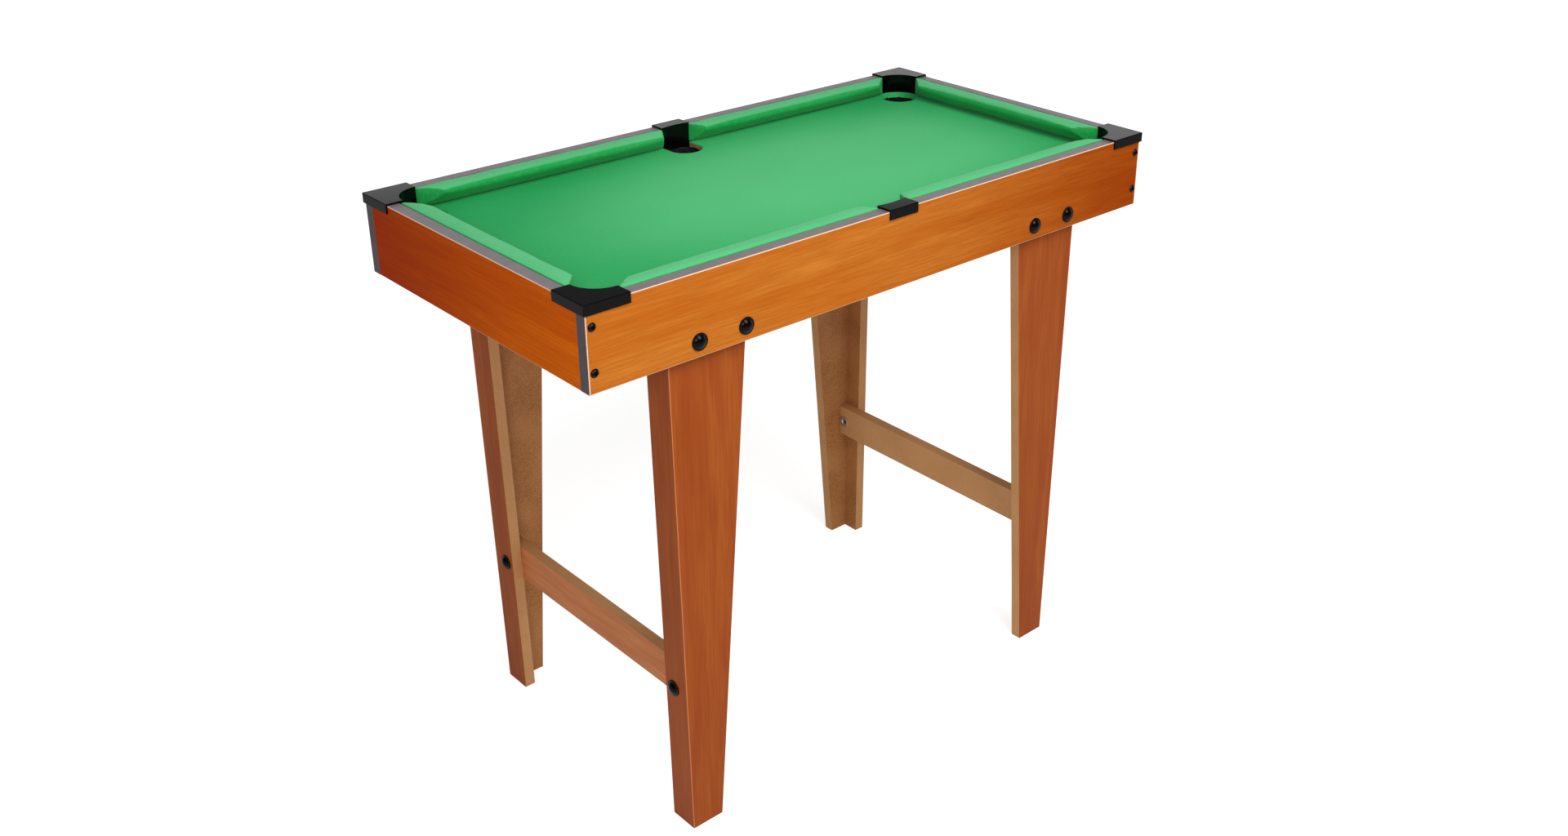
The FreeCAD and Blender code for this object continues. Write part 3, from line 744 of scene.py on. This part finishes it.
def make_bed_cloth():
    """One sheet, stretched over the bed board and cut out for the pockets."""
    cloth_thickness = 0.7 * millimetre
    tongue_inset = 0.3 * millimetre
    notch_steps = 32
    notch_tongues, hole_tongues = 6, 8
    # The strip that hangs beside the apron in a middle pocket: X and height, in millimetres
    hanging_strip = [(-7, 553), (15, 553), (14, 550), (8, 545.8), (5, 546.2), (-3, 550.5)]
    strip_gap = 0.9 * millimetre
    low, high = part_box("bed_cloth")
    outset = cloth_roll + flat_rim - tongue_inset
    notch = middle_hole_radius + outset
    shape = bmesh.new()

    def outline(points):
        verts = [shape.verts.new((x, y, high.z)) for x, y in points]
        return [shape.edges.new((first, second)) for first, second in zip(verts, verts[1:] + verts[:1])]

    def in_mouth(vert, side):
        return abs(vert.co.x) < notch + 0.1 * millimetre and vert.co.y * side > 0

    front_notch = arc_points((0, -middle_hole_y), notch, 180, 0, notch_steps)
    back_notch = arc_points((0, middle_hole_y), notch, 0, -180, notch_steps)
    edge_points = [(low.x, low.y), (-notch, low.y)] + front_notch + [(notch, low.y), (high.x, low.y)]
    edge_points += [(high.x, high.y), (notch, high.y)] + back_notch + [(-notch, high.y), (low.x, high.y)]
    rims = []
    outer = outline(edge_points)
    for side in (-1, 1):
        mouth = [edge for edge in outer if all(in_mouth(vert, side) for vert in edge.verts)]
        rims.append((mouth, (0, side * middle_hole_y), notch_tongues, range(1, notch_tongues - 1)))
    for x in (-corner_hole_x, corner_hole_x):
        for y in (-corner_hole_y, corner_hole_y):
            ring = outline(arc_points((x, y), corner_hole_radius + outset, 0, 360, round_steps)[:-1])
            rims.append((ring, (x, y), hole_tongues, range(hole_tongues)))
    bmesh.ops.triangle_fill(shape, edges=shape.edges[:], normal=(0, 0, 1),
                            use_beauty=True, use_dissolve=False)
    for rim, centre, tongues, kept in rims:
        turn_down(shape, rim, centre, tongues, kept)
    for vert in [vert for vert in shape.verts if not vert.link_faces]:
        shape.verts.remove(vert)
    for side in (-1, 1):
        strip_y = side * (inner_y - strip_gap)
        verts = [shape.verts.new((x * millimetre, strip_y, z * millimetre)) for x, z in hanging_strip]
        shape.faces.new(verts)
    bmesh.ops.recalc_face_normals(shape, faces=shape.faces)
    piece = placed_piece("stretched_bed_cloth", shape, "bed_cloth", ["bed_cloth"])
    wall = piece.modifiers.new("cloth_thickness", "SOLIDIFY")
    wall.thickness = cloth_thickness
    wall.offset = -1
    keep_result(piece)
    piece.data.set_sharp_from_angle(angle=math.radians(crease_angle))


# Pocket bags
def make_bag(place_name, centre, radius):
    """A net of slanting straps, with a hem that lies flat round the hole and a round foot."""
    strap = 2.2 * millimetre
    columns, rows = 14, 5
    hem_width, hem_thickness, hem_drop = 5 * millimetre, 1.2 * millimetre, 2.5 * strap
    foot_steps = 32
    narrowing, roundness, fullness = 0.62, 1.4, 1.1
    apron_gap = 0.5 * millimetre
    low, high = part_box("pocket_bag_" + place_name)
    depth = high.z - low.z - strap / 2
    profile = []
    for row in range(rows + 1):
        turn = math.radians(90 * row / rows)
        across = radius * (1 - narrowing * (1 - math.cos(turn)) ** roundness) + strap / 2
        profile.append((across, -depth * math.sin(turn) ** fullness))
    shape = bmesh.new()
    turned(shape, profile, columns)
    bmesh.ops.remove_doubles(shape, verts=shape.verts, dist=0.01 * millimetre)
    square_edges = shape.edges[:]
    bmesh.ops.poke(shape, faces=shape.faces[:])
    inner = [edge for edge in square_edges if edge.is_valid and len(edge.link_faces) == 2]
    bmesh.ops.dissolve_edges(shape, edges=inner, use_verts=False)
    bmesh.ops.recalc_face_normals(shape, faces=shape.faces)
    bmesh.ops.wireframe(shape, faces=shape.faces[:], thickness=strap, offset=0, use_replace=True,
                        use_boundary=True, use_even_offset=True)
    hem = [(radius, 0), (radius + hem_width, 0), (radius + hem_width, -hem_thickness),
           (radius + strap, -hem_thickness), (radius + strap, -hem_drop), (radius, -hem_drop), (radius, 0)]
    foot_radius = profile[-1][0]
    foot_top, foot_low = strap / 2 - depth, -strap / 2 - depth
    foot = [(0, foot_top), (foot_radius, foot_top), (foot_radius, foot_low), (0, foot_low)]
    solid = bmesh.new()
    turned(solid, hem, round_steps)
    turned(solid, foot, foot_steps)
    close_seams(solid)
    mesh = bpy.data.meshes.new("hem_and_foot")
    solid.to_mesh(mesh)
    solid.free()
    shape.from_mesh(mesh)
    bpy.data.meshes.remove(mesh)
    bmesh.ops.translate(shape, verts=shape.verts, vec=(centre[0], centre[1], high.z))
    if centre[0] == 0:
        side = math.copysign(1, centre[1])
        cut_flat(shape, (0, side * (inner_y - apron_gap), 0), (0, side, 0))
    placed_piece("net_bag_" + place_name, shape, "net", ["pocket_bag_" + place_name])


def make_bags():
    for side_name, side in (("front", -1), ("back", 1)):
        make_bag("middle_" + side_name, (0, side * middle_hole_y), middle_hole_radius)
        for end_name, end in (("left", -1), ("right", 1)):
            corner = (end * corner_hole_x, side * corner_hole_y)
            make_bag(side_name + "_" + end_name, corner, corner_hole_radius)


# Fittings
def solids_of(node):
    """The low and high corners of each separate solid in a node."""
    shape = bmesh.new()
    shape.from_mesh(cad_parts[node].data)
    bmesh.ops.remove_doubles(shape, verts=shape.verts, dist=hair)
    left = set(shape.verts)
    boxes = []
    while left:
        found, edge = set(), [left.pop()]
        while edge:
            vert = edge.pop()
            found.add(vert)
            near = {link.other_vert(vert) for link in vert.link_edges} & left
            left -= near
            edge.extend(near)
        corners = [[pick(vert.co[axis] for vert in found) for axis in range(3)] for pick in (min, max)]
        boxes.append((Vector(corners[0]), Vector(corners[1])))
    shape.free()
    return sorted(boxes, key=lambda box: tuple(round(value, 4) for value in box[0]))


def seats(node, above, below, way=1):
    """The seat of each fitting in a node and the way that it points: 1 is out from the table, -1 is in.

    The fitting reaches so far above and below its seat.
    """
    places = []
    for low, high in solids_of(node):
        middle = (low + high) / 2
        if "stretcher" in node:
            side = math.copysign(1, middle.x)
            direction = Vector((side * leg_top, 0, leg_lean)).normalized() * way
        else:
            direction = Vector((0, math.copysign(1, middle.y), 0)) * way
        places.append((middle - direction * (above - below) / 2, direction))
    return places


def at_each_seat(one, places):
    """Copies of a fitting, each turned to its own direction and moved to its seat."""
    mesh = bpy.data.meshes.new("one_fitting")
    one.to_mesh(mesh)
    one.free()
    together = bmesh.new()
    for place, direction in places:
        first = len(together.verts)
        together.from_mesh(mesh)
        together.verts.ensure_lookup_table()
        turn = Vector(direction).to_track_quat("Z", "Y").to_matrix().to_4x4()
        bmesh.ops.transform(together, matrix=Matrix.Translation(place) @ turn, verts=together.verts[first:])
    bpy.data.meshes.remove(mesh)
    return together


def dome_points(radius, rise, height, steps):
    """A shallow dome's profile, from its crown at a height down to its edge."""
    sphere = (radius ** 2 + rise ** 2) / (2 * rise)
    spread = math.degrees(math.asin(radius / sphere))
    return arc_points((0, height - sphere), sphere, 90, 90 - spread, steps)


def make_bolt_caps():
    """Round caps with a rounded rim and a low dome, and room inside for the bolt's head."""
    radius, height, rim, dome_radius, edge = [size * millimetre for size in (8, 4.6, 1.5, 6.4, 0.5)]
    room_radius, room_height = [size * millimetre for size in (4.4, 2.2)]
    dome = dome_points(dome_radius, height - rim, height, 8)
    rounded = arc_points((radius - edge, rim - edge), edge, 90, 0, 4)
    profile = dome + rounded + [(radius, 0), (room_radius, 0), (room_radius, room_height), (0, room_height)]
    for node in ("leg_bolt_caps", "stretcher_bolt_caps"):
        together = at_each_seat(turned_fitting(profile), seats(node, height, 0))
        placed_piece("turned_" + node, together, "bolt_cap", [node])


def make_screws():
    """Dome-headed screws, with a cross recess sunk in each head."""
    head_radius, head_height, length = [size * millimetre for size in (4, 2.6, 34)]
    shank_radius, tip_radius, tip_length = [size * millimetre for size in (1.8, 0.3, 3)]
    slot_width, slot_length, slot_depth = [size * millimetre for size in (1.1, 4.2, 1.5)]
    dome = dome_points(head_radius, head_height, head_height, 10)
    shank = [(shank_radius, 0), (shank_radius, tip_length - length), (tip_radius, -length), (0, -length)]
    recess = bmesh.new()
    for across, along in ((slot_width, slot_length), (slot_length, slot_width)):
        size = Matrix.Diagonal((across, along, 2 * slot_depth, 1))
        bmesh.ops.create_cube(recess, size=1, matrix=Matrix.Translation((0, 0, head_height)) @ size)
    one = cut_away(turned_fitting(dome + shank), recess)
    together = at_each_seat(one, seats("apron_screws", head_height, length))
    placed_piece("turned_apron_screws", together, "black_steel", ["apron_screws"])


def make_nuts():
    """Flanged nuts, let into the boards, with a chamfered mouth and thread rings in the bore."""
    flange_radius, flange, edge = [size * millimetre for size in (7, 1.2, 0.35)]
    barrel_radius, barrel = [size * millimetre for size in (4.25, 10)]
    bore, pitch, thread = [size * millimetre for size in (3.1, 1.25, 0.3)]
    profile = [(bore, -barrel), (barrel_radius, -barrel), (barrel_radius, 0), (flange_radius, 0),
               (flange_radius, flange - edge), (flange_radius - edge, flange), (bore + 2 * edge, flange)]
    rings = int(barrel / pitch)
    for ring in range(rings):
        depth = flange - 2 * edge - ring * pitch
        profile += [(bore, depth), (bore - thread, depth - pitch / 2)]
    for node in ("leg_bolt_nuts", "stretcher_bolt_nuts"):
        one = turned_fitting(profile + profile[:1])
        together = at_each_seat(one, seats(node, flange, barrel, way=-1))
        placed_piece("turned_" + node, together, "nickel", [node])


make_cushions()
make_bed_cloth()
make_bags()
make_bolt_caps()
make_screws()
make_nuts()


# Floor, light and camera
def ray_kinds(nodes):
    """One for the camera's own view, and one for what metal, plastic and glass reflect or let through."""
    path = nodes.add("LightPath").outputs
    return path["Is Camera Ray"], nodes.maths("MAXIMUM", path["Is Glossy Ray"], path["Is Transmission Ray"])


def studio_floor(glow, reflected_glow):
    """A white floor, lifted towards white where it is looked at, that keeps the table's soft shadow."""
    reach = 12.0
    far_from, far_to, far_rise = 0.8, 3, 0.25
    finish = Finish("studio_floor", roughness=0.9, gloss=0.0)
    finish.colour(rgb(236, 236, 236))
    finish.shader.inputs["Emission Color"].default_value = (1, 1, 1, 1)
    seen, reflected = ray_kinds(finish)
    distance = finish.add("VectorMath", {0: finish.place}, operation="LENGTH").outputs["Value"]
    far = finish.ramped(distance, far_from, far_to)
    seen_glow = finish.maths("MULTIPLY", seen, finish.maths("MULTIPLY_ADD", far, far_rise, glow))
    strength = finish.maths("MULTIPLY_ADD", reflected, reflected_glow, seen_glow)
    finish.feed(finish.shader.inputs["Emission Strength"], strength)
    shape = bmesh.new()
    bmesh.ops.create_grid(shape, x_segments=1, y_segments=1, size=reach)
    floor = as_object("studio_floor", shape)
    floor.data.materials.append(finish.material)


def studio_world(ambient, ceiling):
    """Soft light, strongest from low down.

    The camera sees white, and gloss a dim room with a white backdrop.
    """
    backdrop_top, ceiling_foot = [math.sin(math.radians(angle)) for angle in (17.5, 20)]
    backdrop_side, backdrop_middle = 0.2, 0.8
    overhead_share = 0.4
    world = bpy.data.worlds.new("studio")
    world.use_nodes = True
    bpy.context.scene.world = world
    nodes = Nodes(world.node_tree)
    background = nodes.tree.nodes["Background"]
    background.inputs["Color"].default_value = (1, 1, 1, 1)
    direction = nodes.add("SeparateXYZ", {"Vector": nodes.add("TexCoord").outputs["Generated"]}).outputs
    backwards = nodes.maths("ADD", direction["X"], direction["Y"])
    behind = nodes.ramped(backwards, backdrop_side, backdrop_middle)
    backdrop = nodes.maths("MULTIPLY", nodes.ramped(direction["Z"], ceiling_foot, backdrop_top), behind)
    room = nodes.maths("MULTIPLY_ADD", backdrop, 1 - ceiling, ceiling)
    low_down = nodes.ramped(direction["Z"], 1, 0)
    room_light = nodes.maths("MULTIPLY_ADD", low_down, ambient, overhead_share * ambient)
    seen, reflected = ray_kinds(nodes)
    unseen = nodes.maths("SUBTRACT", 1, nodes.maths("ADD", seen, reflected))
    shown = nodes.maths("MULTIPLY_ADD", reflected, room, seen)
    nodes.feed(background.inputs["Strength"], nodes.maths("MULTIPLY_ADD", unseen, room_light, shown))


def soft_light(name, place, aim, size, power):
    data = bpy.data.lights.new(name, "AREA")
    data.shape = "DISK"
    data.size = size
    data.energy = power
    light = bpy.data.objects.new(name, data)
    light.location = place
    light.rotation_euler = (Vector(aim) - Vector(place)).to_track_quat("-Z", "Y").to_euler()
    bpy.context.scene.collection.objects.link(light)


def photo_camera():
    """The photograph's viewpoint: its place, its axes and the lens, in 1920 by 1024 pixels."""
    image_width, image_height = 1920, 1024
    focal_length, centre_x, centre_y = 1911.3, 1017.4, 438.4
    place = Vector((-0.94789, -1.12110, 1.04586))
    forward = Vector((0.61120, 0.67032, -0.42084)).normalized()
    up = Vector((0.28054, 0.31372, 0.90713))
    right = forward.cross(up).normalized()
    up = right.cross(forward)
    data = bpy.data.cameras.new("photo_camera")
    data.sensor_width = 36
    data.lens = focal_length / image_width * data.sensor_width
    data.shift_x = (image_width / 2 - centre_x) / image_width
    data.shift_y = (centre_y - image_height / 2) / image_width
    camera = bpy.data.objects.new("photo_camera", data)
    turn = Matrix((right, up, -forward)).transposed()
    camera.matrix_world = Matrix.Translation(place) @ turn.to_4x4()
    bpy.context.scene.collection.objects.link(camera)
    bpy.context.scene.camera = camera


studio_floor(glow=0.66, reflected_glow=0.1)
studio_world(ambient=0.5, ceiling=0.15)
soft_light("key_light", place=(-1.25, -1.1, 1.2), aim=(0, 0, 0.45), size=0.7, power=8)
soft_light("top_light", place=(0, -1.3, 1.8), aim=(0, 0, 0.5), size=1.2, power=25)
photo_camera()
bpy.context.scene.view_settings.view_transform = "Standard"
